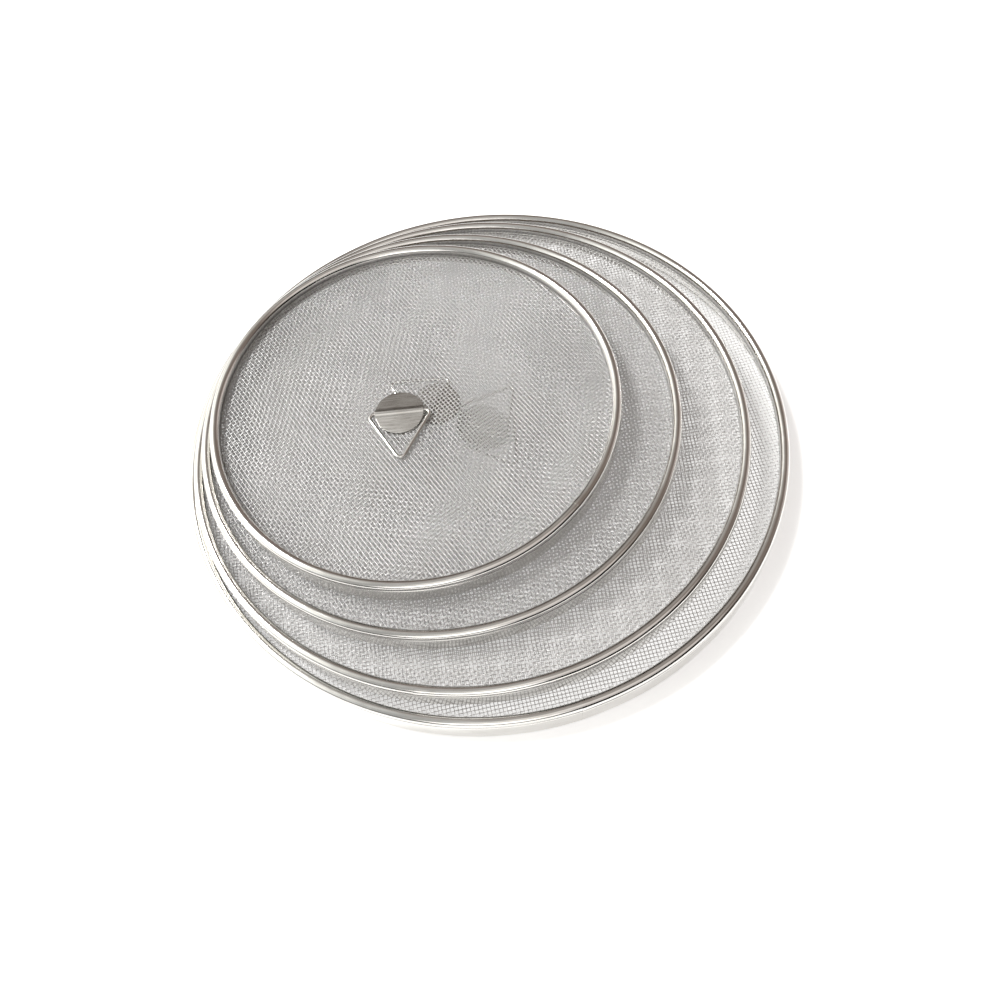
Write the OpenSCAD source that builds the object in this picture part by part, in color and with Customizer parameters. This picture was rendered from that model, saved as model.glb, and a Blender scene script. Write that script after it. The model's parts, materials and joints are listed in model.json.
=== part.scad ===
// A nested set of four round wire-mesh sieves. Each sieve has a rolled rim with a
// plain skirt, a woven mesh on a ledge inside it, and a folding wire ring under a
// bent clamp disc near the centre. Origin: centre of the largest sieve's resting plane.

/* [Sieves] */
// Outer diameters of the rims, largest sieve first
rim_d = [300, 275, 236, 201]; // [180:1:320]
// Sideways place of each rim's centre in the nested stack
rim_x = [0, -7.2, -20.1, -30.8]; // [-40:0.1:40]
// Front-to-back place of each rim's centre in the nested stack
rim_y = [0, -0.4, 5, 9.2]; // [-40:0.1:40]
// Gap left between a skirt and the mesh that it rests on
nest_gap = 0.3; // [0.1:0.1:2]

/* [Rim] */
// Diameter of the rolled bead
bead_d = 4.8; // [4.4:0.1:5.2]
// Thickness of the rim's sheet
sheet = 0.5; // [0.4:0.05:0.7]
// Height of the bead's centre above the resting plane of a sieve
bead_height = 10.9; // [10:0.1:14]
// How much further down the largest sieve's skirt reaches
extra_skirt = 3; // [0:0.5:6]
// How far the skirt's face stands inside the bead's outer edge
skirt_inset = 0.1; // [0:0.1:0.6]
// Radius of the shoulder where the skirt turns in under the bead
shoulder_r = 0.8; // [0.6:0.1:1]
// Thickness of the folded hem at the skirt's lower edge
hem_t = 0.9; // [0.6:0.1:1.2]
// Height of the folded hem
hem_h = 1.6; // [1:0.1:3]
// Diameter of the stiffening wire inside the bead
core_d = 3.6; // [2:0.1:3.6]
// Thickness of the ledge that carries the mesh's edge
ledge_t = 0.5; // [0.4:0.1:1]
// Direction of each rim's lap seam, counter-clockwise from the right
seam_angle = [-81, -107, 25, -47]; // [-180:1:180]
// How far the lapped sheet stands out at the seam
seam_step = 0.18; // [0.1:0.02:0.3]
// Length of the lap along the rim
seam_l = 7; // [3:1:20]

/* [Mesh] */
// Thickness of the woven mesh
mesh_t = 0.8; // [0.6:0.1:0.9]
// Depth of the mesh's top below the bead's centre
mesh_drop = 2.9; // [2.7:0.1:3.5]

/* [Handle] */
// Sideways place of each handle, off the centre of its mesh
handle_dx = [2.1, 6.3, -0.6, -7.8]; // [-20:0.1:20]
// Front-to-back place of each handle, off the centre of its mesh
handle_dy = [4.6, 3, 8.6, -3.6]; // [-20:0.1:20]
// Direction in which each ring lies folded, counter-clockwise from the right
ring_angle = [-65, 44, 144, -94]; // [-180:0.5:180]
// Diameter of the clamp disc
disc_d = 24; // [20:0.5:24]
// Thickness of the clamp disc and of the disc under the mesh
disc_t = 0.6; // [0.4:0.1:0.8]
// Slope of the clamp disc's two wings, in degrees
wing_slope = 4; // [3:0.5:6]
// Diameter of the ring's wire
wire_d = 1.7; // [1.6:0.1:2.4]
// Length of the ring's side between sharp corners, on the wire's centre line
ring_side = 32.6; // [32:0.1:40]
// Bend radius of the ring's corners, on the wire's centre line
ring_bend = 2.5; // [2:0.1:2.6]
// Running clearance around the ring's wire in the clamp disc
hinge_gap = 0.08; // [0.05:0.01:0.1]

/* [Hidden] */
$fn = 96;

bead_r = bead_d / 2;
wire_r = wire_d / 2;
disc_r = disc_d / 2;
mesh_top = bead_height - mesh_drop;        // above the sieve's own resting plane
mesh_low = mesh_top - mesh_t;
stack_step = mesh_top + nest_gap;          // from one sieve's resting plane to the next
mesh_lift = 0.3;                           // free gap between the ring's wire and the mesh
axis_z = mesh_top + wire_r + mesh_lift;    // hinge axis above the resting plane
channel_r = wire_r + hinge_gap;            // inside of the clamp disc's ridge
ridge_r = channel_r + disc_t;              // outside of the ridge
wing_foot = 11.4;                          // from the ridge to where a wing meets the mesh
edge_gap = 0.05;                           // between the mesh's edge and the skirt
lip_in = bead_d - sheet;                   // from the rim's outer edge to the lip's outer face
wall_in = skirt_inset + sheet;             // from the rim's outer edge to the skirt's inner face
side_run = ring_side - 2 * ring_bend / tan(30);   // straight part of each ring side
bend_mark = 0.02;                          // rise of the mark where a bend starts
to_corner = ring_side / 2 - ring_bend / tan(30);  // half of that, along the pivot side

// Puts a sieve's children at its place in the stack
module in_stack(i)
    translate([rim_x[i], rim_y[i], extra_skirt + i * stack_step]) children();

// Puts a handle's children on its mesh, with the ring's folded direction along +X
module at_handle(i)
    in_stack(i) translate([handle_dx[i], handle_dy[i], 0]) rotate([0, 0, ring_angle[i]]) children();

// A ring-shaped solid from a bead-centred circle, between two radii
module hoop(i, r_out, r_in = 0, turn = 360)
    rotate_extrude(angle = turn, $fn = 240)
        translate([rim_d[i] / 2 - bead_r, bead_height])
            difference() {
                circle(r = r_out, $fn = 64);
                if (r_in > 0) circle(r = r_in, $fn = 64);
            }

// A plain cylindrical wall of the rim, from its outer radius inwards
module wall(r_out, thick, z_low, z_high)
    translate([0, 0, z_low])
        difference() {
            cylinder(r = r_out, h = z_high - z_low, $fn = 240);
            translate([0, 0, -1]) cylinder(r = r_out - thick, h = z_high - z_low + 2, $fn = 240);
        }

// The quarter-round shoulder between the skirt and the bead
module shoulder(i, z_turn)
    rotate_extrude($fn = 240)
        translate([rim_d[i] / 2 - skirt_inset - shoulder_r, z_turn])
            intersection() {
                difference() {
                    circle(r = shoulder_r, $fn = 48);
                    circle(r = shoulder_r - sheet, $fn = 48);
                }
                square(shoulder_r + 1);
            }

// Rolled bead with its lip, shoulder, skirt, ledge and hem, with the lap seam
module rim(i) {
    rim_r = rim_d[i] / 2;
    skirt_r = rim_r - skirt_inset;
    z_turn = bead_height - bead_r + 0.1;
    z_foot = i == 0 ? -extra_skirt : 0;
    color("lightgray") in_stack(i) {
        hoop(i, bead_r, bead_r - sheet);
        shoulder(i, z_turn);
        wall(rim_r - lip_in, sheet, mesh_top, bead_height);
        wall(rim_r - wall_in + sheet / 2, lip_in - wall_in + sheet / 2, mesh_low - ledge_t, mesh_low);
        wall(skirt_r, sheet, z_foot + hem_h / 2, z_turn);
        wall(skirt_r, hem_t, z_foot, z_foot + hem_h);
        rotate([0, 0, seam_angle[i]])
            hoop(i, bead_r + seam_step, bead_r - sheet / 2, seam_l / rim_r * 180 / PI);
    }
}

// Stiffening wire inside the rolled bead
module core_wire(i)
    color("darkgray") in_stack(i) hoop(i, core_d / 2);

// Woven mesh, as a flat disc of the cloth's full thickness
module mesh(i)
    color("gainsboro") in_stack(i)
        translate([0, 0, mesh_low])
            cylinder(r = rim_d[i] / 2 - wall_in - edge_gap, h = mesh_t, $fn = 240);

// Flat disc under the mesh, which the clamp disc is welded to
module backing_disc(i)
    color("silver") at_handle(i)
        translate([0, 0, mesh_low - disc_t]) cylinder(r = disc_r, h = disc_t, $fn = 96);

// One wing of the clamp disc, sloping down from the ridge to the mesh
module wing(side)
    translate([0, 0, mesh_top + wing_foot * sin(wing_slope)]) rotate([0, side * wing_slope, 0])
        translate([side > 0 ? channel_r : -disc_d, -disc_r, 0])
            cube([disc_d - channel_r, disc_d, disc_t]);

// Disc bent over the ring's wire, with a straight ridge and two wings
module clamp_disc(i)
    color("whitesmoke") at_handle(i)
        intersection() {
            difference() {
                union() {
                    wing(1);
                    wing(-1);
                    translate([0, disc_r, axis_z]) rotate([90, 0, 0]) cylinder(r = ridge_r, h = disc_d);
                }
                translate([0, disc_r + 1, axis_z]) rotate([90, 0, 0]) cylinder(r = channel_r, h = disc_d + 2);
                translate([-channel_r, -disc_r - 1, 0]) cube([2 * channel_r, disc_d + 2, axis_z]);
            }
            translate([0, 0, mesh_top]) cylinder(r = disc_r, h = 10);
        }

// Triangular wire ring with round corners, folded flat over the mesh
module ring(i)
    color("lightgray") at_handle(i)
        translate([ring_side / 2 / tan(60), 0, axis_z])
            for (k = [0:2]) rotate([0, 0, 120 * k]) {
                translate([-ring_side / 2 / tan(60), side_run / 2, 0])
                    rotate([90, 0, 0]) cylinder(r = wire_r, h = side_run, $fn = 32);
                translate([-ring_side / 2 / tan(60) + ring_bend, to_corner, 0])
                    rotate([0, 0, 60]) {
                        rotate_extrude(angle = 120)
                            translate([ring_bend, 0]) circle(r = wire_r, $fn = 32);
                        for (end = [0, 120]) rotate([0, 0, end])
                            translate([ring_bend, 0, 0]) sphere(r = wire_r + bend_mark, $fn = 32);
                    }
            }

rim(0);  // rim_300
core_wire(0);  // core_wire_300
mesh(0);  // mesh_300
backing_disc(0);  // backing_disc_300
clamp_disc(0);  // clamp_disc_300
ring(0);  // ring_300
rim(1);  // rim_275
core_wire(1);  // core_wire_275
mesh(1);  // mesh_275
backing_disc(1);  // backing_disc_275
clamp_disc(1);  // clamp_disc_275
ring(1);  // ring_275
rim(2);  // rim_236
core_wire(2);  // core_wire_236
mesh(2);  // mesh_236
backing_disc(2);  // backing_disc_236
clamp_disc(2);  // clamp_disc_236
ring(2);  // ring_236
rim(3);  // rim_201
core_wire(3);  // core_wire_201
mesh(3);  // mesh_201
backing_disc(3);  // backing_disc_201
clamp_disc(3);  // clamp_disc_201
ring(3);  // ring_201
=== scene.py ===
import json
import math
import bpy
import numpy as np
from mathutils import Matrix, Vector


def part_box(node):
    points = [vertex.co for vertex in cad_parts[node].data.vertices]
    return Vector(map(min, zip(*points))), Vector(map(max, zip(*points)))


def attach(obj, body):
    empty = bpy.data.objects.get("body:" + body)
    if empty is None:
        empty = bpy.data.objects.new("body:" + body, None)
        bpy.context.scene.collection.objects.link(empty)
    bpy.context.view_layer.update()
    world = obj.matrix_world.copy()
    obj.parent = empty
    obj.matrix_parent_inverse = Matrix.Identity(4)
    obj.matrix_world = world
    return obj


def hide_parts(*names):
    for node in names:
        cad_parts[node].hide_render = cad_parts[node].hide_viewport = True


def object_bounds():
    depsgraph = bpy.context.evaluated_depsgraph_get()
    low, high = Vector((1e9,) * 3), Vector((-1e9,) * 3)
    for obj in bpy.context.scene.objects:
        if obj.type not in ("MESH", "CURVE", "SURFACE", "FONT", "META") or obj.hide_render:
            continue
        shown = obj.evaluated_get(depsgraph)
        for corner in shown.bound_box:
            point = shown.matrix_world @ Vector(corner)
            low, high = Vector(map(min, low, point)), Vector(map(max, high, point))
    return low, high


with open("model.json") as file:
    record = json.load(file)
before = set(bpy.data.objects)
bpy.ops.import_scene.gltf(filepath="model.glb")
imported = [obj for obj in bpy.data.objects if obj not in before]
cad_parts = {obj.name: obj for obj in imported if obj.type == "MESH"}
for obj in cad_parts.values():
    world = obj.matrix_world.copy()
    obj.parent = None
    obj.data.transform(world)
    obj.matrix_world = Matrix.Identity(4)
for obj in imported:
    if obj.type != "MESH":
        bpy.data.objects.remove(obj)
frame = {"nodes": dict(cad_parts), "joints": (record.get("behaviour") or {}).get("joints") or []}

# A nested set of four round sieves, each named by its rim's diameter. Every place comes
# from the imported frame. The sizes below are in millimetres and the angles in degrees.
CAD_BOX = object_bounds()
SIEVES = (300, 275, 236, 201)
MM = 0.001

# Rolled rim. In its outline x runs outwards from the rim's outermost radius, and z
# upwards from the sieve's own resting plane.
BEAD_R = 2.4
BEAD_Z = 10.9
CREASE_ANGLE = -40.7       # where the bead's outside meets the shoulder
SHEET = 0.5
SHOULDER_R = 0.8
SHOULDER_Z = 8.6
SHOULDER_END = 66.5        # where the shoulder meets the bead
SKIRT_X = -0.1
MESH_TOP = 8.0
MESH_LOW = 7.2
ROOF_UP = 0.45             # from the mesh's top to the roll's inner side above it
ROOF_RISE = 0.05           # how much higher that side is at the wall
ROOF_MIDDLE_X = -2.6
LEDGE_LOW = 6.7
LEDGE_EDGE = 0.15          # bevel of the ledge's free edge
WALL_MIDDLE_Z = 4.0
ROOF_COVE = 0.25           # four small bevels in the wall's inner corners
MESH_COVE = 0.2
LEDGE_COVE = 0.3
HEM_COVE = 0.2
HEM_X = -1.0
HEM_H = 1.6
HEM_EDGE = 0.12
HEM_EDGE_DROP = 0.14
FOLD_R = 0.45
RIM_STATIONS = 600
RIM_WANDER = 0.02          # height of each of two slow waves in the rim's radius
RIM_SHARP = 38.0           # edges bent further than this show as sharp

# Lap seam of each rim, and the painted shade in the crease under its bead
SEAM_STEP = 0.175
SEAM_RUN = 8.0
SEAM_ON_SKIRT = 0.5        # share of the step that shows on the skirt
SEAM_STATIONS = (0.0, 1e-4, 0.002, 0.004, 0.006)    # extra turns near it, in radians
SEAM_ANGLE = {300: -81.0, 275: -107.0, 236: 25.0, 201: -47.0}
PAINTED_SHADE_LOW = 9.3
PAINTED_SHADE_HIGH = 12.2
PAINTED_SHADE_WANDER = 0.3

# Woven wire cloth
PITCH = 1.75
CLOTH_WIRE = {300: 0.42, 275: 0.42, 236: 0.44, 201: 0.5}
CLOTH_THICK = 0.8
WEAVE_ANGLE = {300: 4.0, 275: -5.0, 236: 27.0, 201: 29.0}
WIRE_SIDES = 4
CLOTH_PARTS = {300: 2, 275: 2, 236: 2, 201: 1}
CLOTH_WANDER = 0.35        # how far the wires stray from an even weave
CLOTH_WAVE_X = 23.0
CLOTH_WAVE_Y = 27.0
CLOTH_SAG = 0.14
FREE_FROM_RIM = (0.86, 0.99)        # shares of the radius over which the rim takes hold
FREE_FROM_HANDLE = (15.0, 45.0)     # distances over which the handle lets go
EDGE_LIFT = 0.22           # rise of the cloth's edge towards the roll above it
EDGE_LIFT_START = 3.0
EDGE_LIFT_END = 0.4
WIRE_END_GAP = 0.2         # least run between a wire's end and its next point
LAST_WIRE_INSET = 1.0      # least distance from the cloth's edge to its outermost wire

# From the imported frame's boxes to the rim and the cloth
CORE_COVER = 0.6           # from the core wire to the bead's outside
CLOTH_INSET = 4.1          # from the bead's outside to the ends of the wires

# Handle
DISC_R = 12.0
DISC_T = 0.6
DISC_EDGE = 0.2
DISC_ROWS = 41
DISC_SHARP = 50.0
DISC_MARGIN = 0.005        # keeps the bent sheet's last points inside its rounded edge
EDGE_TURNS = (25, 50, 75, 90)       # steps of the clamp disc's rounded edge
WING_SLOPE = 4.0
RIDGE_R = 1.53
FILLET_R = 2.2
CHORD_FLOOR = 0.12         # least square of half the sheet's width, at its two sides
UNDER_CENTRE_R = 0.02      # the innermost circle of points in the disc under the cloth
UNDER_CIRCLES = 30
UNDER_STATIONS = 120
LEVEL_MARGIN = 0.01
WELD_X = 6.5
WELD_Y = 4.0
WELD_DEPTH = 0.22
WELD_FLOOR_R = 0.7
WELD_R = 1.5
RING_SIDE = 32.6
RING_BEND = 2.5
RING_WIRE_R = 0.85
RING_WIRE_SIDES = 28
BEND_POINTS = 25
SIDE_POINTS = 24


def box_mm(node):
    """Lowest and highest corner of a CAD node at rest, in millimetres."""
    low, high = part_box(node)
    return np.array(low) / MM, np.array(high) / MM


def sieve_place(size):
    """Where one sieve's rim and cloth are, in millimetres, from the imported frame."""
    core_low, core_high = box_mm(f"core_wire_{size}")
    mesh_low, mesh_high = box_mm(f"mesh_{size}")
    rim_r = (core_high[0] - core_low[0]) / 2 + CORE_COVER
    rest = mesh_high[2] - MESH_TOP
    return {
        "centre": (core_low + core_high)[:2] / 2,
        "rim_r": rim_r,
        "mesh_r": rim_r - CLOTH_INSET,
        "rest": rest,
        "foot": box_mm(f"rim_{size}")[0][2] - rest,
        "mesh_top": mesh_high[2],
        "mesh_low": mesh_low[2],
    }


def handle_place(size):
    """Pivot point, in millimetres, and folded direction of one sieve's ring."""
    joint = next(j for j in frame["joints"] if j["name"] == f"fold_{size}")
    pivot = np.array(joint["pos_m"]) / MM
    along = joint["axis"]
    return pivot, math.atan2(along[0], -along[1])


PLACE = {size: sieve_place(size) for size in SIEVES}
HANDLE = {size: handle_place(size) for size in SIEVES}


# ---------------------------------------------------------------- mesh helpers

def quad_object(name, points, quads, sharp_angle=None):
    """A mesh object from points in millimetres and four-cornered faces."""
    data = bpy.data.meshes.new(name)
    data.vertices.add(len(points))
    data.vertices.foreach_set("co", (np.asarray(points, float) * MM).ravel())
    data.loops.add(quads.size)
    data.loops.foreach_set("vertex_index", quads.astype(np.int32).ravel())
    data.polygons.add(len(quads))
    data.polygons.foreach_set("loop_start", np.arange(0, quads.size, 4, dtype=np.int32))
    data.update(calc_edges=True)
    data.shade_smooth()
    if sharp_angle is not None:
        data.set_sharp_from_angle(angle=math.radians(sharp_angle))
    piece = bpy.data.objects.new(name, data)
    bpy.context.scene.collection.objects.link(piece)
    return piece


def grid_quads(rows, columns, close_rows=False, close_columns=False):
    """Faces of a grid of points numbered row by row, closed on itself where asked."""
    r = np.arange(rows if close_rows else rows - 1)
    c = np.arange(columns if close_columns else columns - 1)
    r, c = np.meshgrid(r, c, indexing="ij")
    r_next = (r + 1) % rows
    c_next = (c + 1) % columns
    near = (r * columns + c, r_next * columns + c)
    far = (r_next * columns + c_next, r * columns + c_next)
    return np.stack(near + far, -1).reshape(-1, 4)


def finish_piece(piece, body, slot, material, *nodes):
    """Gives a piece its finish and its body, and hides the CAD nodes that it stands for."""
    piece.data.materials.append(material)
    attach(piece, body)
    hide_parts(*nodes)


def arc(x, z, radius, start, end, steps):
    """Points on a circular arc, angles in degrees from +x towards +z."""
    angle = np.radians(np.linspace(start, end, steps))
    return np.stack([x + radius * np.cos(angle), z + radius * np.sin(angle)], -1)


def upright(x, heights):
    """Points one above another on an upright line."""
    return np.stack([np.full(len(heights), x), heights], -1)


# ---------------------------------------------------------------- materials

def new_material(name):
    """An empty node material, with its tree and its surface shader."""
    material = bpy.data.materials.new(name)
    material.use_nodes = True
    tree = material.node_tree
    tree.nodes.clear()
    shader = tree.nodes.new("ShaderNodeBsdfPrincipled")
    output = tree.nodes.new("ShaderNodeOutputMaterial")
    tree.links.new(shader.outputs["BSDF"], output.inputs["Surface"])
    return material, tree, shader


def new_metal(name):
    """A node material of bare metal, with its tree and its surface shader."""
    material, tree, shader = new_material(name)
    shader.inputs["Metallic"].default_value = 1.0
    return material, tree, shader


def add_node(tree, kind, **inputs):
    """A node with some of its input sockets set; underscores stand for spaces."""
    node = tree.nodes.new(kind)
    for key, value in inputs.items():
        node.inputs[key.replace("_", " ")].default_value = value
    return node


def add_math(tree, kind, operation, *values):
    """A math node of one kind; each value is a socket to link or a constant."""
    node = tree.nodes.new(kind)
    node.operation = operation
    for socket, value in zip(node.inputs, values):
        if isinstance(value, bpy.types.NodeSocket):
            tree.links.new(value, socket)
        else:
            socket.default_value = value
    return node


def vector_math(tree, operation, *values):
    """The vector that a vector math node gives."""
    return add_math(tree, "ShaderNodeVectorMath", operation, *values).outputs["Vector"]


def vector_value(tree, operation, *values):
    """The single value that a vector math node gives."""
    return add_math(tree, "ShaderNodeVectorMath", operation, *values).outputs["Value"]


def object_coordinates(tree):
    """The piece's own coordinates."""
    return tree.nodes.new("ShaderNodeTexCoord").outputs["Object"]


def split_vector(tree, vector):
    """A vector's X, Y and Z outputs."""
    node = tree.nodes.new("ShaderNodeSeparateXYZ")
    tree.links.new(vector, node.inputs["Vector"])
    return node.outputs


def scaled(tree, vector, scale):
    """A vector stretched by a scale for each axis."""
    mapping = add_node(tree, "ShaderNodeMapping", Scale=scale)
    tree.links.new(vector, mapping.inputs["Vector"])
    return mapping.outputs["Vector"]


def scaled_coordinates(tree, scale):
    """Object coordinates stretched by a scale for each axis."""
    return scaled(tree, object_coordinates(tree), scale)


def round_coordinates(tree, along, across):
    """Coordinates that run round the object's own Z axis: turn, and radius plus height."""
    place = object_coordinates(tree)
    flat = vector_math(tree, "MULTIPLY", place, (1.0, 1.0, 0.0))
    turn = split_vector(tree, vector_math(tree, "NORMALIZE", flat))
    radius = vector_value(tree, "LENGTH", flat)
    outline = add_math(tree, "ShaderNodeMath", "ADD", radius, split_vector(tree, place)["Z"])
    joined = tree.nodes.new("ShaderNodeCombineXYZ")
    tree.links.new(turn["X"], joined.inputs["X"])
    tree.links.new(turn["Y"], joined.inputs["Y"])
    tree.links.new(outline.outputs["Value"], joined.inputs["Z"])
    return scaled(tree, joined.outputs["Vector"], (along, along, across))


def noise(tree, vector, detail, rough):
    """A noise texture's value output."""
    node = add_node(tree, "ShaderNodeTexNoise", Scale=1.0, Detail=detail, Roughness=rough)
    tree.links.new(vector, node.inputs["Vector"])
    return node.outputs["Fac"]


def ramp(tree, value, stops):
    """A colour ramp over a value, from (position, grey or colour) pairs."""
    node = tree.nodes.new("ShaderNodeValToRGB")
    elements = node.color_ramp.elements
    while len(elements) < len(stops):
        elements.new(0.5)
    for element, (position, colour) in zip(elements, stops):
        element.position = position
        rgb = colour if isinstance(colour, tuple) else (colour, colour, colour)
        element.color = (*rgb, 1.0)
    tree.links.new(value, node.inputs["Fac"])
    return node.outputs["Color"]


def bump(tree, height, distance, strength, below=None):
    """A bump node's normal output, laid over another bump where one is given."""
    node = add_node(tree, "ShaderNodeBump", Strength=strength, Distance=distance)
    tree.links.new(height, node.inputs["Height"])
    if below is not None:
        tree.links.new(below, node.inputs["Normal"])
    return node.outputs["Normal"]


def painted_crease_shade(tree, tint, patches):
    """Darkens a tint with painted shade in the crease between bead and skirt, where the bead's overhang
    shades it.
    """
    up = split_vector(tree, object_coordinates(tree))["Z"]
    wander = add_math(tree, "ShaderNodeMath", "MULTIPLY_ADD", patches, PAINTED_SHADE_WANDER * MM, up)
    height = tree.nodes.new("ShaderNodeMapRange")
    height.inputs["From Min"].default_value = PAINTED_SHADE_LOW * MM
    height.inputs["From Max"].default_value = PAINTED_SHADE_HIGH * MM
    tree.links.new(wander.outputs["Value"], height.inputs["Value"])
    # The darkest stops are painted shade under the bead's overhang, not dirt
    stops = [(0.0, 1.0), (0.08, 0.42), (0.45, 0.5), (0.9, 1.0)]
    return vector_math(tree, "MULTIPLY", tint, ramp(tree, height.outputs["Result"], stops))


def rim_material():
    """Bright rolled sheet: fine lines round the rim, slow dents, dull patches, and painted shade in the
    crease under the bead.
    """
    material, tree, shader = new_metal("rim_steel")
    lines = noise(tree, round_coordinates(tree, 14.0, 2600.0), 3.0, 0.6)
    waves = noise(tree, scaled_coordinates(tree, (70.0, 70.0, 160.0)), 2.0, 0.5)
    patches = noise(tree, scaled_coordinates(tree, (35.0, 35.0, 90.0)), 4.0, 0.6)
    tint = ramp(tree, patches, [(0.3, (0.64, 0.625, 0.60)), (0.7, (0.75, 0.74, 0.72))])
    # Base colour carries painted shade: darker in the crease under the bead, where its overhang shades
    # the sheet
    tree.links.new(painted_crease_shade(tree, tint, patches), shader.inputs["Base Color"])
    dull = ramp(tree, lines, [(0.3, 0.07), (0.75, 0.18)])
    tree.links.new(dull, shader.inputs["Roughness"])
    dents = bump(tree, waves, 0.0004, 0.4)
    tree.links.new(bump(tree, lines, 0.00002, 0.6, dents), shader.inputs["Normal"])
    return material


def cloth_material():
    """Bright drawn wire with a light grey haze that changes over the cloth."""
    material, tree, shader = new_metal("mesh_steel")
    patches = noise(tree, scaled_coordinates(tree, (22.0, 22.0, 22.0)), 3.0, 0.55)
    tint = ramp(tree, patches, [(0.3, (0.61, 0.60, 0.595)), (0.7, (0.70, 0.69, 0.685))])
    tree.links.new(tint, shader.inputs["Base Color"])
    grain = noise(tree, scaled_coordinates(tree, (900.0, 900.0, 900.0)), 2.0, 0.6)
    tree.links.new(ramp(tree, grain, [(0.3, 0.38), (0.7, 0.52)]), shader.inputs["Roughness"])
    return material


def disc_material():
    """Brushed sheet, its grain running along the ridge, with darker clouds."""
    material, tree, shader = new_metal("disc_steel")
    grain = noise(tree, scaled_coordinates(tree, (5200.0, 90.0, 600.0)), 3.0, 0.65)
    cloud = noise(tree, scaled_coordinates(tree, (130.0, 60.0, 130.0)), 4.0, 0.6)
    tint = ramp(tree, cloud, [(0.3, (0.33, 0.315, 0.295)), (0.7, (0.43, 0.42, 0.40))])
    tree.links.new(tint, shader.inputs["Base Color"])
    tree.links.new(ramp(tree, grain, [(0.3, 0.2), (0.75, 0.38)]), shader.inputs["Roughness"])
    tree.links.new(bump(tree, grain, 0.00003, 0.7), shader.inputs["Normal"])
    return material


def ring_material():
    """Polished wire with fine drawing marks and slow changes of tone."""
    material, tree, shader = new_metal("wire_steel")
    marks = noise(tree, scaled_coordinates(tree, (700.0, 700.0, 700.0)), 4.0, 0.6)
    cloud = noise(tree, scaled_coordinates(tree, (120.0, 120.0, 120.0)), 2.0, 0.5)
    tint = ramp(tree, cloud, [(0.3, (0.68, 0.665, 0.64)), (0.7, (0.82, 0.81, 0.79))])
    tree.links.new(tint, shader.inputs["Base Color"])
    tree.links.new(ramp(tree, marks, [(0.3, 0.1), (0.7, 0.24)]), shader.inputs["Roughness"])
    tree.links.new(bump(tree, marks, 0.00002, 0.5), shader.inputs["Normal"])
    return material


def core_material():
    """Plain drawn wire, duller and darker than the rim rolled round it."""
    material, tree, shader = new_metal("core_steel")
    marks = noise(tree, scaled_coordinates(tree, (400.0, 400.0, 1500.0)), 4.0, 0.6)
    tint = ramp(tree, marks, [(0.3, (0.50, 0.49, 0.47)), (0.7, (0.66, 0.65, 0.63))])
    tree.links.new(tint, shader.inputs["Base Color"])
    tree.links.new(ramp(tree, marks, [(0.3, 0.34), (0.7, 0.52)]), shader.inputs["Roughness"])
    return material


RIM_STEEL = rim_material()
CLOTH_STEEL = cloth_material()
DISC_STEEL = disc_material()
RING_STEEL = ring_material()
CORE_STEEL = core_material()


# ---------------------------------------------------------------- rims

def rim_profile(foot):
    """Closed outline of the rolled sheet, and its lap: 1 on the bead, -1 on the skirt."""
    wall_x = SKIRT_X - SHEET
    lip_x = -2 * BEAD_R
    lip_out = lip_x + SHEET
    edge_x = lip_out + LEDGE_EDGE
    curl_z = MESH_TOP + SHEET / 2
    roof_z = MESH_TOP + ROOF_UP
    roof_middle_z = roof_z + 0.4 * ROOF_RISE
    hem_top = foot + HEM_H
    bead = arc(-BEAD_R, BEAD_Z, BEAD_R, CREASE_ANGLE, 180.0, 40)
    lip = upright(lip_x, np.linspace(BEAD_Z, curl_z, 6)[1:])
    curl = arc(lip_x + SHEET / 2, curl_z, SHEET / 2, 180.0, 360.0, 9)[1:]
    roof = [[lip_out, roof_z], [ROOF_MIDDLE_X, roof_middle_z], [wall_x - ROOF_COVE, roof_z + ROOF_RISE]]
    wall = [[wall_x, MESH_TOP + MESH_COVE], [wall_x, MESH_LOW + MESH_COVE]]
    ledge = [[wall_x - MESH_COVE, MESH_LOW], [-BEAD_R, MESH_LOW], [edge_x, MESH_LOW]]
    ledge += [[lip_out, MESH_LOW - LEDGE_EDGE], [lip_out, LEDGE_LOW + LEDGE_EDGE]]
    ledge += [[edge_x, LEDGE_LOW], [-BEAD_R, LEDGE_LOW], [wall_x - LEDGE_COVE, LEDGE_LOW]]
    skirt = [[wall_x, LEDGE_LOW - LEDGE_COVE], [wall_x, WALL_MIDDLE_Z], [wall_x, hem_top + HEM_COVE]]
    hem = [[wall_x - HEM_EDGE, hem_top], [HEM_X + HEM_EDGE, hem_top], [HEM_X, hem_top - HEM_EDGE_DROP]]
    inside = np.array(roof + wall + ledge + skirt + hem)
    fold = arc((HEM_X + SKIRT_X) / 2, foot + FOLD_R, FOLD_R, 180.0, 360.0, 11)
    face = upright(SKIRT_X, np.linspace(hem_top - HEM_COVE, SHOULDER_Z, 8)[:-1])
    shoulder = arc(SKIRT_X - SHOULDER_R, SHOULDER_Z, SHOULDER_R, 0.0, SHOULDER_END, 8)
    outline = np.concatenate([bead, lip, curl, inside, fold, face, shoulder])
    follows = np.zeros(len(outline))
    follows[:len(bead)] = 1.0
    follows[-len(face) - len(shoulder):] = -1.0
    return outline, follows


def rim_stations():
    """Turns round the rim in radians, from the seam, with extra ones at its step."""
    even = np.linspace(0.0, 2 * math.pi, RIM_STATIONS, endpoint=False)
    return np.sort(np.concatenate([even[1:], SEAM_STATIONS]))


def lap_height(turn, rim_r):
    """Height of the lapped sheet over a turn: a sharp step, then a slow fall."""
    run = turn * rim_r / SEAM_RUN
    fall = 1.0 - np.clip(run, 0.0, 1.0)
    height = SEAM_STEP * fall * fall * (3 - 2 * fall)
    return np.where(turn > 0.0, height, 0.0)


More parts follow.
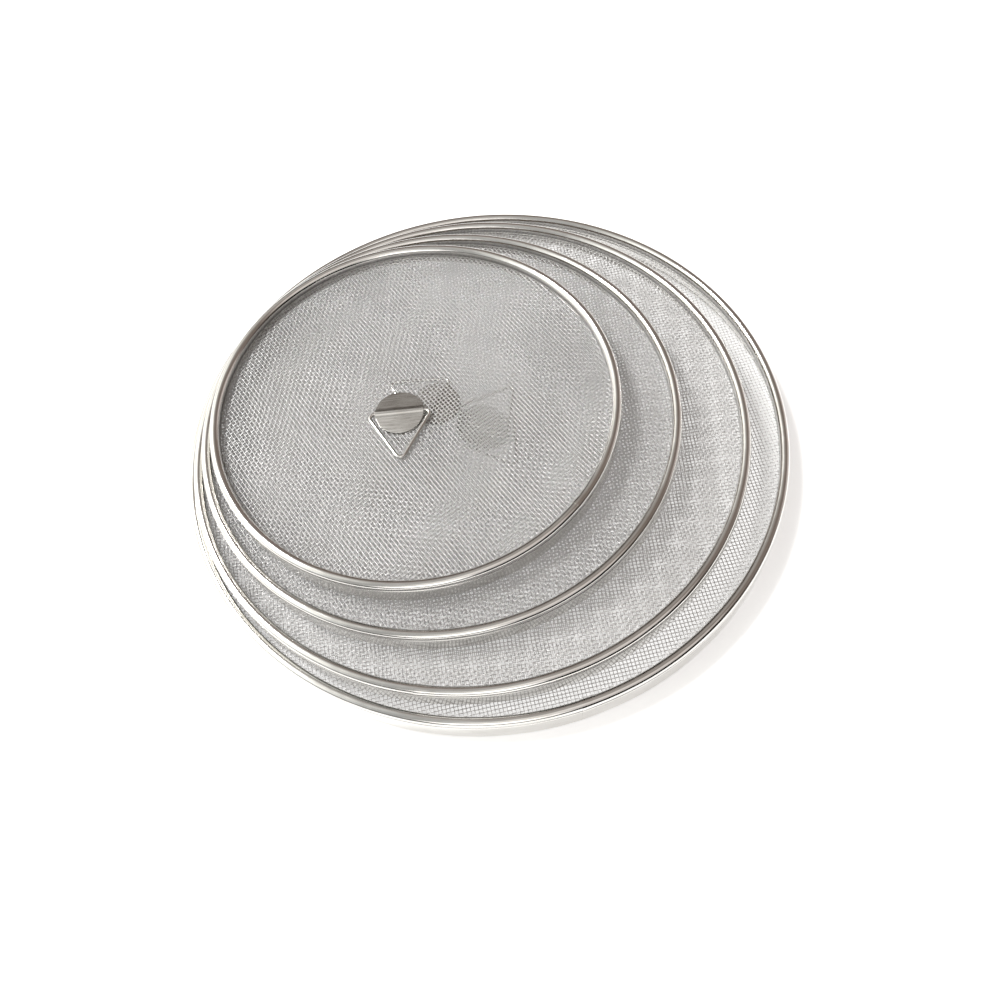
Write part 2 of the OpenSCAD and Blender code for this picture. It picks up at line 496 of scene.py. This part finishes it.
def rim_mesh(size):
    """Points and faces of one rim about its own centre."""
    rim_r = PLACE[size]["rim_r"]
    outline, follows = rim_profile(PLACE[size]["foot"])
    turn = rim_stations()
    lap = lap_height(turn, rim_r)[:, None]
    wave = RIM_WANDER * (np.sin(5 * turn + size) + np.sin(17 * turn + 2 * size) - 2)
    from_bead = outline - (-BEAD_R, BEAD_Z)
    away = from_bead / np.linalg.norm(from_bead, axis=1)[:, None]
    bead = (follows > 0)[None, :]
    face = (follows < 0)[None, :]
    x = outline[None, :, 0] + lap * bead * away[None, :, 0] + lap * face * SEAM_ON_SKIRT
    z = outline[None, :, 1] + lap * bead * away[None, :, 1]
    radius = rim_r + x + wave[:, None]
    turn = turn[:, None] + math.radians(SEAM_ANGLE[size])
    points = np.stack([radius * np.cos(turn), radius * np.sin(turn), z], -1)
    quads = grid_quads(len(turn), len(outline), close_rows=True, close_columns=True)
    return points.reshape(-1, 3), quads


def make_rim(size):
    """The rolled, hemmed rim of one sieve."""
    place = PLACE[size]
    points, quads = rim_mesh(size)
    piece = quad_object(f"rolled_rim_{size}", points, quads, RIM_SHARP)
    piece.location = Vector((*place["centre"], place["rest"])) * MM
    finish_piece(piece, f"sieve_{size}", "rim_steel", RIM_STEEL, f"rim_{size}")


# ---------------------------------------------------------------- wire cloth

def smooth_step(value, low, high):
    """0 below low, 1 above high, and a smooth rise between."""
    t = np.clip((value - low) / (high - low), 0.0, 1.0)
    return t * t * (3 - 2 * t)


def cloth_drift(x, y, size):
    """How the cloth wanders from a flat, even weave, in millimetres."""
    reach = PLACE[size]["mesh_r"]
    handle = HANDLE[size][0][:2] - PLACE[size]["centre"]
    radius = np.hypot(x, y)
    inside = 1.0 - smooth_step(radius / reach, *FREE_FROM_RIM)
    free = inside * smooth_step(np.hypot(x - handle[0], y - handle[1]), *FREE_FROM_HANDLE)
    a = x / CLOTH_WAVE_X + size
    b = y / CLOTH_WAVE_Y - size
    move_x = CLOTH_WANDER * inside * np.sin(b + 0.6 * np.sin(0.7 * a))
    move_y = CLOTH_WANDER * inside * np.sin(1.1 * a + 0.5 * np.sin(0.8 * b))
    sag = CLOTH_SAG * free * (1.0 + np.sin(0.9 * a + 0.4 * b) * np.cos(0.7 * b - 0.3 * a))
    lift = EDGE_LIFT * smooth_step(radius, reach - EDGE_LIFT_START, reach - EDGE_LIFT_END)
    return move_x, move_y, lift - sag


def wire_line(offset, order, reach, rise):
    """Points along one crimped wire: distance along it, offset and height."""
    half = math.sqrt(reach * reach - offset * offset)
    count = int(half / (PITCH / 2))
    along = np.arange(-count, count + 1) * (PITCH / 2)
    along = np.concatenate([[-half], along[np.abs(along) < half - WIRE_END_GAP], [half]])
    crimp = np.sin(math.pi * along / PITCH) * (-1) ** order
    return along, np.full(len(along), offset), crimp * rise


def wire_tube(line, wire_r):
    """Points and faces of a tube round a line given as an array of points."""
    along = np.gradient(line, axis=0)
    along /= np.linalg.norm(along, axis=1)[:, None]
    side = np.cross(along, (0.0, 0.0, 1.0))
    side /= np.linalg.norm(side, axis=1)[:, None]
    up = np.cross(side, along)
    angle = np.arange(WIRE_SIDES) * 2 * math.pi / WIRE_SIDES
    ring = side[:, None] * np.cos(angle)[None, :, None] + up[:, None] * np.sin(angle)[None, :, None]
    points = line[:, None] + ring * wire_r
    quads = grid_quads(len(line), WIRE_SIDES, close_columns=True)
    ends = np.array([[0, 1, 2, 3], [3, 2, 1, 0]])
    ends[1] += (len(line) - 1) * WIRE_SIDES
    return points.reshape(-1, 3), np.concatenate([quads, ends])


def wire_set(size, across, half):
    """All wires of one direction in half of a sieve's cloth, or in all of it for None."""
    place = PLACE[size]
    reach = place["mesh_r"]
    last = int(reach / PITCH - 0.5)
    turned = math.radians(WEAVE_ANGLE[size])
    cos, sin = math.cos(turned), math.sin(turned)
    middle = (place["mesh_top"] + place["mesh_low"]) / 2
    wire_r = CLOTH_WIRE[size] / 2
    rise = min(wire_r, CLOTH_THICK / 2 - wire_r) * (-1 if across else 1)
    points, quads, start = [], [], 0
    for order in range(-last - 1, last + 1):
        if half is not None and (order < 0) != (half == 0):
            continue
        offset = (order + 0.5) * PITCH
        if abs(offset) > reach - LAST_WIRE_INSET:
            continue
        along, beside, height = wire_line(offset, order, reach, rise)
        x, y = (beside, along) if across else (along, beside)
        x, y = x * cos - y * sin, x * sin + y * cos
        move_x, move_y, move_z = cloth_drift(x, y, size)
        line = np.stack([x + move_x, y + move_y, height + move_z], -1)
        line += (*place["centre"], middle)
        tube, faces = wire_tube(line, wire_r)
        points.append(tube)
        quads.append(faces + start)
        start += len(tube)
    return np.concatenate(points), np.concatenate(quads)


def make_cloth(size):
    """The woven wire cloth of one sieve, as warp and weft wires."""
    halves = [None] if CLOTH_PARTS[size] == 1 else [0, 1]
    for across, word in ((False, "warp"), (True, "weft")):
        for half in halves:
            points, quads = wire_set(size, across, half)
            name = f"{word}_wires_{size}" + ("" if half is None else f"_{half + 1}")
            piece = quad_object(name, points, quads)
            finish_piece(piece, f"sieve_{size}", "mesh_steel", CLOTH_STEEL, f"mesh_{size}")


# ---------------------------------------------------------------- handles

def ridge_outline(inner_r, mesh_top):
    """Half of the clamp disc's upper outline, from the ridge's top to a radius.

    A fillet touches the ridge's circle and the wing's sloping line, so its centre is
    one reach from the hinge axis, on the line that lies FILLET_R above the wing.
    """
    slope = math.radians(WING_SLOPE)
    lean = math.tan(slope)
    line_z = mesh_top + DISC_T + DISC_R * lean
    reach = RIDGE_R + FILLET_R
    level = line_z + FILLET_R / math.cos(slope)
    a = 1 + lean * lean
    b = -2 * lean * level
    c = level * level - reach * reach
    fillet_x = (-b + math.sqrt(b * b - 4 * a * c)) / (2 * a)
    fillet_z = level - lean * fillet_x
    meet = math.degrees(math.atan2(fillet_z, fillet_x))
    top = arc(0.0, 0.0, RIDGE_R, 90.0, meet, 16)
    fillet = arc(fillet_x, fillet_z, FILLET_R, 180.0 + meet, 270.0 - WING_SLOPE, 9)
    wing_x = np.linspace(fillet[-1, 0], inner_r, 16)[1:]
    wing = np.stack([wing_x, line_z - wing_x * lean], -1)
    return np.concatenate([top, fillet[1:], wing])


def outline_normals(outline):
    """Unit normals of an outline, pointing up."""
    along = np.gradient(outline, axis=0)
    along /= np.linalg.norm(along, axis=1)[:, None]
    return np.stack([-along[:, 1], along[:, 0]], -1)


def disc_sheet(outline, inner_r, rows):
    """Grid of points over a round disc whose height follows an outline across it."""
    x = outline[:, 0]
    chord = np.sqrt(np.maximum(inner_r * inner_r - x * x, CHORD_FLOOR))
    t = np.sin(np.linspace(-math.pi / 2, math.pi / 2, rows))
    y = chord[:, None] * t[None, :]
    shape = (len(x), rows)
    points = [np.broadcast_to(x[:, None], shape), y, np.broadcast_to(outline[:, 1, None], shape)]
    return np.stack(points, -1)


def grid_edge(columns, rows):
    """Numbers of a grid's outer points, once round."""
    near = [i * rows for i in range(columns)]
    right = [(columns - 1) * rows + j for j in range(1, rows)]
    far = [i * rows + rows - 1 for i in range(columns - 2, -1, -1)]
    left = list(range(rows - 2, 0, -1))
    return np.array(near + right + far + left)


def rounded_edge(top_edge, under_edge, inner_r):
    """Loops of points round the disc's edge, from its upper to its lower face."""
    out = top_edge[:, :2] / np.linalg.norm(top_edge[:, :2], axis=1)[:, None]
    upper, lower = [], []
    for turn in np.radians(EDGE_TURNS):
        flat = out * (inner_r + DISC_EDGE * math.sin(turn))
        drop = DISC_EDGE * (1 - math.cos(turn))
        upper.append(np.column_stack([flat, top_edge[:, 2] - drop]))
        lower.append(np.column_stack([flat, under_edge[:, 2] + drop]))
    return upper + lower[::-1]


def clamp_disc_mesh(size):
    """Points and faces of the clamp disc, its ridge along Y, about the hinge point."""
    mesh_top = PLACE[size]["mesh_top"] - HANDLE[size][0][2]
    inner_r = DISC_R - DISC_EDGE
    half = ridge_outline(inner_r - DISC_MARGIN, mesh_top)
    mirrored = half[:0:-1] * (-1, 1)
    upper = np.concatenate([mirrored, half])
    lower = upper - outline_normals(upper) * DISC_T
    top = disc_sheet(upper, inner_r, DISC_ROWS).reshape(-1, 3)
    under = disc_sheet(lower, inner_r, DISC_ROWS).reshape(-1, 3)
    edge = grid_edge(len(upper), DISC_ROWS)
    loops = rounded_edge(top[edge], under[edge], inner_r)
    count, around = len(top), len(edge)
    points = np.concatenate([top, under, *loops])
    sheet = grid_quads(len(upper), DISC_ROWS)
    between = [2 * count + k * around + np.arange(around) for k in range(len(loops))]
    rings = [edge, *between, count + edge]
    walls = []
    for one, two in zip(rings, rings[1:]):
        walls.append(np.stack([one, two, np.roll(two, -1), np.roll(one, -1)], -1))
    quads = np.concatenate([sheet, sheet[:, ::-1] + count, *walls])
    return points, quads


def handle_matrix(size):
    """Where a handle's own axes are: the hinge along Y, the folded ring towards +X."""
    pivot, folded = HANDLE[size]
    return Matrix.Translation(Vector(pivot) * MM) @ Matrix.Rotation(folded, 4, "Z")


def make_clamp_disc(size):
    """The disc bent over the ring's wire."""
    points, quads = clamp_disc_mesh(size)
    piece = quad_object(f"bent_disc_{size}", points, quads, DISC_SHARP)
    piece.matrix_world = handle_matrix(size)
    finish_piece(piece, f"sieve_{size}", "disc_steel", DISC_STEEL, f"clamp_disc_{size}")


def make_backing_disc(size):
    """The flat disc under the cloth, with soft edges and spot-weld dimples."""
    low, high = box_mm(f"backing_disc_{size}")
    low_z = low[2] - HANDLE[size][0][2]
    high_z = high[2] - HANDLE[size][0][2]
    flat_r = DISC_R - DISC_EDGE
    inner = np.linspace(UNDER_CENTRE_R, flat_r, UNDER_CIRCLES)
    soft = np.radians([30, 60, 90])
    edge_r = flat_r + DISC_EDGE * np.sin(soft)
    edge_drop = DISC_EDGE * (1 - np.cos(soft))
    radius = np.concatenate([inner, edge_r, edge_r[::-1], inner[::-1]])
    level = np.ones(UNDER_CIRCLES)
    edge_z = [low_z + edge_drop, high_z - edge_drop[::-1]]
    height = np.concatenate([low_z * level, *edge_z, high_z * level])
    turn = np.linspace(0, 2 * math.pi, UNDER_STATIONS, endpoint=False)
    x = np.cos(turn)[:, None] * radius[None, :]
    y = np.sin(turn)[:, None] * radius[None, :]
    z = np.broadcast_to(height[None, :], x.shape).copy()
    underside = height[None, :] < low_z + LEVEL_MARGIN
    for spot_x in (WELD_X, -WELD_X):
        for spot_y in (WELD_Y, -WELD_Y):
            near = np.hypot(x - spot_x, y - spot_y)
            z += underside * WELD_DEPTH * (1 - smooth_step(near, WELD_FLOOR_R, WELD_R))
    points = np.stack([x, y, z], -1).reshape(-1, 3)
    quads = grid_quads(len(turn), len(radius), close_rows=True, close_columns=True)
    piece = quad_object(f"under_disc_{size}", points, quads[:, ::-1], DISC_SHARP)
    piece.matrix_world = handle_matrix(size)
    finish_piece(piece, f"sieve_{size}", "disc_steel", DISC_STEEL, f"backing_disc_{size}")


def ring_path():
    """Centre line of the ring as a closed row of points, its pivot side on the Y axis."""
    inner_r = RING_SIDE / 2 / math.tan(math.radians(60))
    corner_r = 2 * inner_r - RING_BEND / math.sin(math.radians(30))
    run = RING_SIDE - 2 * RING_BEND / math.tan(math.radians(30))
    path = []
    for corner in (0.0, 120.0, 240.0):
        at = math.radians(corner)
        x = inner_r + corner_r * math.cos(at)
        y = corner_r * math.sin(at)
        path.append(arc(x, y, RING_BEND, corner - 60.0, corner + 60.0, BEND_POINTS))
        ahead = math.radians(corner + 150.0)
        step = (math.cos(ahead), math.sin(ahead))
        path.append(path[-1][-1] + np.linspace(0, run, SIDE_POINTS)[1:-1, None] * step)
    flat = np.concatenate(path)
    return np.column_stack([flat, np.zeros(len(flat))])


def make_ring(size):
    """The folding triangular ring of round wire."""
    path = ring_path()
    along = np.roll(path, -1, axis=0) - np.roll(path, 1, axis=0)
    along /= np.linalg.norm(along, axis=1)[:, None]
    side = np.cross(along, (0.0, 0.0, 1.0))
    angle = np.linspace(0, 2 * math.pi, RING_WIRE_SIDES, endpoint=False)
    around = side[:, None] * np.cos(angle)[None, :, None]
    around = around + np.array([0.0, 0.0, 1.0]) * np.sin(angle)[None, :, None]
    points = (path[:, None] + around * RING_WIRE_R).reshape(-1, 3)
    quads = grid_quads(len(path), len(angle), close_rows=True, close_columns=True)
    piece = quad_object(f"bent_ring_{size}", points, quads)
    piece.matrix_world = handle_matrix(size)
    finish_piece(piece, f"handle_{size}", "wire_steel", RING_STEEL, f"ring_{size}")


def paint_core_wire(size):
    """The CAD's own wire inside the bead keeps its shape and takes a wire finish."""
    node = frame["nodes"][f"core_wire_{size}"]
    node.data.materials.clear()
    node.data.materials.append(CORE_STEEL)


for size in SIEVES:
    make_rim(size)
    make_cloth(size)
    make_clamp_disc(size)
    make_backing_disc(size)
    make_ring(size)
    paint_core_wire(size)


# ---------------------------------------------------------------- studio

# Places in metres, angles in degrees, directions counted from the right towards the back
FLOOR_HALF = 3.0
FLOOR_GAP = 0.0001
FLOOR_GLOW = 0.38
SUN_STRENGTH = 2.8
SUN_WIDTH = 16.0
SUN_ZENITH = 36.0
SUN_AZIMUTH = 145.0
SENSOR_WIDTH = 36.0
LENS = 36.0
CAMERA_DISTANCE = 0.4835
CAMERA_ELEVATION = 60.35
CAMERA_ROLL = -9.16
CAMERA_AIM = Vector((0.0028, -0.0388, 0.0139))


def make_camera():
    """A camera at the photograph's viewing angle, rolled a little about its own axis."""
    data = bpy.data.cameras.new("camera")
    data.sensor_width = SENSOR_WIDTH
    data.lens = LENS
    camera = bpy.data.objects.new("camera", data)
    bpy.context.scene.collection.objects.link(camera)
    tilt = math.radians(CAMERA_ELEVATION)
    view = Vector((0.0, math.cos(tilt), -math.sin(tilt)))
    level = Vector((1.0, 0.0, 0.0))
    above = level.cross(view)
    roll = math.radians(CAMERA_ROLL)
    right = level * math.cos(roll) + above * math.sin(roll)
    up = right.cross(view)
    turn = Matrix((right, up, -view)).transposed().to_4x4()
    camera.matrix_world = Matrix.Translation(CAMERA_AIM - view * CAMERA_DISTANCE) @ turn
    bpy.context.scene.camera = camera


def make_floor():
    """A plain white floor, lit a little from within like a light table."""
    corners = np.array([[-1, -1, 0], [1, -1, 0], [1, 1, 0], [-1, 1, 0]]) * FLOOR_HALF / MM
    floor = quad_object("floor", corners, np.array([[0, 1, 2, 3]]))
    floor.location.z = CAD_BOX[0].z - FLOOR_GAP
    material, tree, shader = new_material("floor_white")
    cloud = noise(tree, scaled_coordinates(tree, (3.0, 3.0, 3.0)), 2.0, 0.5)
    tint = ramp(tree, cloud, [(0.3, 0.88), (0.7, 0.9)])
    tree.links.new(tint, shader.inputs["Base Color"])
    shader.inputs["Roughness"].default_value = 0.9
    shader.inputs["Emission Color"].default_value = (1.0, 1.0, 1.0, 1.0)
    shader.inputs["Emission Strength"].default_value = FLOOR_GLOW
    floor.data.materials.append(material)


def direction_towards(zenith, azimuth):
    """Unit vector towards a place in the surroundings."""
    tilt, turn = math.radians(zenith), math.radians(azimuth)
    flat = math.sin(tilt)
    return Vector((flat * math.cos(turn), flat * math.sin(turn), math.cos(tilt)))


def soft_patch(tree, direction, zenith, azimuth, outer, inner, colour):
    """Light of one soft round patch of the surroundings, full inside its inner angle."""
    lean = vector_value(tree, "DOT_PRODUCT", direction, direction_towards(zenith, azimuth))
    edge = tree.nodes.new("ShaderNodeMapRange")
    edge.interpolation_type = "SMOOTHSTEP"
    edge.inputs["From Min"].default_value = math.cos(math.radians(outer))
    edge.inputs["From Max"].default_value = math.cos(math.radians(inner))
    tree.links.new(lean, edge.inputs["Value"])
    return vector_math(tree, "MULTIPLY", edge.outputs["Result"], colour)


def make_world():
    """Soft light all round, which the camera itself doesn't see: to it the sky is white."""
    world = bpy.data.worlds.new("studio")
    bpy.context.scene.world = world
    world.use_nodes = True
    tree = world.node_tree
    tree.nodes.clear()
    direction = tree.nodes.new("ShaderNodeTexCoord").outputs["Generated"]
    wide_left = soft_patch(tree, direction, 45, 180, 70, 30, (0.51, 0.51, 0.495))
    bright_left = soft_patch(tree, direction, 60, 160, 48, 24, (1.12, 1.10, 1.02))
    low_left = soft_patch(tree, direction, 60, 200, 24, 8, (0.42, 0.44, 0.44))
    window = soft_patch(tree, direction, 60, 260, 24, 8, (2.0, 1.97, 1.92))
    high_front = soft_patch(tree, direction, 30, 300, 34, 14, (0.82, 0.77, 0.74))
    warm_room = soft_patch(tree, direction, 60, 40, 70, 30, (0.25, 0.205, 0.18))
    low_right = soft_patch(tree, direction, 75, 20, 24, 8, (0.48, 0.45, 0.44))
    total = wide_left
    for patch in (bright_left, low_left, window, high_front, warm_room, low_right):
        total = vector_math(tree, "ADD", total, patch)
    lights = tree.nodes.new("ShaderNodeBackground")
    tree.links.new(total, lights.inputs["Color"])
    backdrop = add_node(tree, "ShaderNodeBackground", Color=(1.0, 1.0, 1.0, 1.0))
    seen = tree.nodes.new("ShaderNodeLightPath")
    choice = tree.nodes.new("ShaderNodeMixShader")
    tree.links.new(seen.outputs["Is Camera Ray"], choice.inputs[0])
    tree.links.new(lights.outputs["Background"], choice.inputs[1])
    tree.links.new(backdrop.outputs["Background"], choice.inputs[2])
    output = tree.nodes.new("ShaderNodeOutputWorld")
    tree.links.new(choice.outputs["Shader"], output.inputs["Surface"])


def make_sun():
    """One clear, slightly soft light from behind the upper left."""
    data = bpy.data.lights.new("sun", "SUN")
    data.energy = SUN_STRENGTH
    data.angle = math.radians(SUN_WIDTH)
    light = bpy.data.objects.new("sun", data)
    towards = direction_towards(SUN_ZENITH, SUN_AZIMUTH)
    light.rotation_mode = "QUATERNION"
    light.rotation_quaternion = (-towards).to_track_quat("-Z", "Y")
    bpy.context.scene.collection.objects.link(light)


make_camera()
make_floor()
make_world()
make_sun()
bpy.context.scene.view_settings.view_transform = "Standard"
